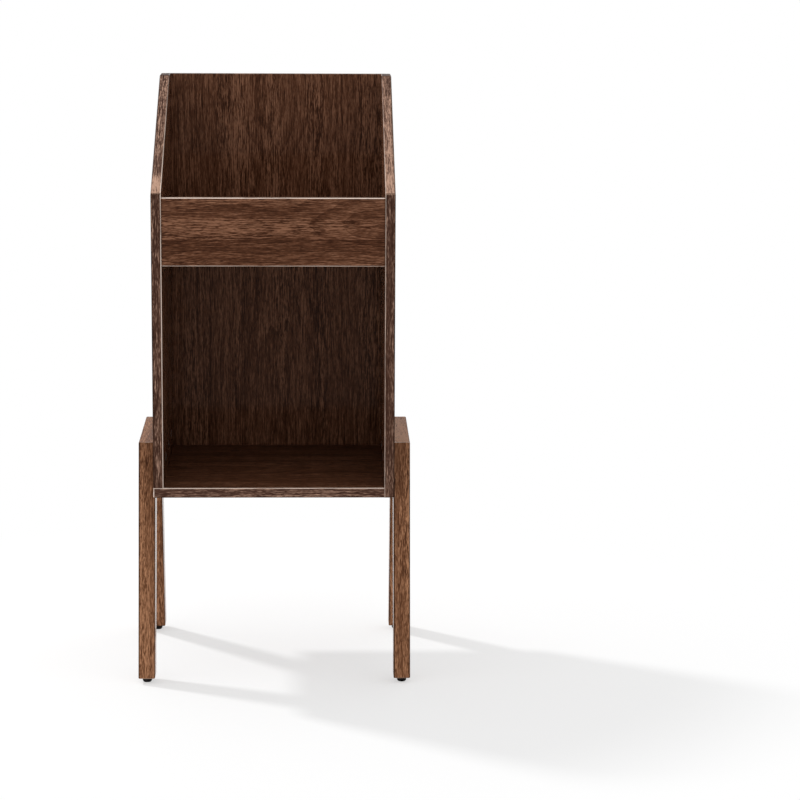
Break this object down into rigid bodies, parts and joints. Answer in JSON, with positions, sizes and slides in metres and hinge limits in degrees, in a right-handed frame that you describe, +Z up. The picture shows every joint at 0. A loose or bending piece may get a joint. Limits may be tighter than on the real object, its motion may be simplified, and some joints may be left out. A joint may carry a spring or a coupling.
{
  "type": "record storage stand",
  "caption": "Narrow wooden stand for 12-inch records: a sloped open bin above an open shelf compartment, carried by splayed side leg frames on small glides.",
  "frame": {"origin": "on the ground, under the middle of the stand's footprint", "axes": "+Z up, -Y the open front with the front board, +X to the right of someone who faces the front"},
  "size_m": [0.408, 0.345, 0.89],
  "materials": {
    "walnut_board": "satin walnut veneer",
    "back_board": "satin walnut veneer",
    "walnut_leg": "satin lacquered walnut",
    "black_glide": "matt moulded",
    "zinc_steel": "zinc plated",
    "brass_insert": "turned",
    "beech_dowel": "bare, fluted"
  },
  "bodies": {
    "root": {"left_side_panel": "walnut_board", "right_side_panel": "walnut_board", "bottom_board": "walnut_board", "bin_floor": "walnut_board", "front_board": "walnut_board", "back_panel": "back_board", "left_front_leg": "walnut_leg", "left_rear_leg": "walnut_leg", "left_top_rail": "walnut_leg", "right_front_leg": "walnut_leg", "right_rear_leg": "walnut_leg", "right_top_rail": "walnut_leg", "left_front_glide": "black_glide", "left_rear_glide": "black_glide", "right_front_glide": "black_glide", "right_rear_glide": "black_glide", "glide_nails": "zinc_steel", "left_frame_bolts": "zinc_steel", "right_frame_bolts": "zinc_steel", "left_frame_inserts": "brass_insert", "right_frame_inserts": "brass_insert", "left_frame_dowels": "beech_dowel", "right_frame_dowels": "beech_dowel", "bottom_board_dowels": "beech_dowel", "bin_floor_dowels": "beech_dowel", "front_board_dowels": "beech_dowel", "back_panel_screws": "zinc_steel"}
  },
  "joints": []
}
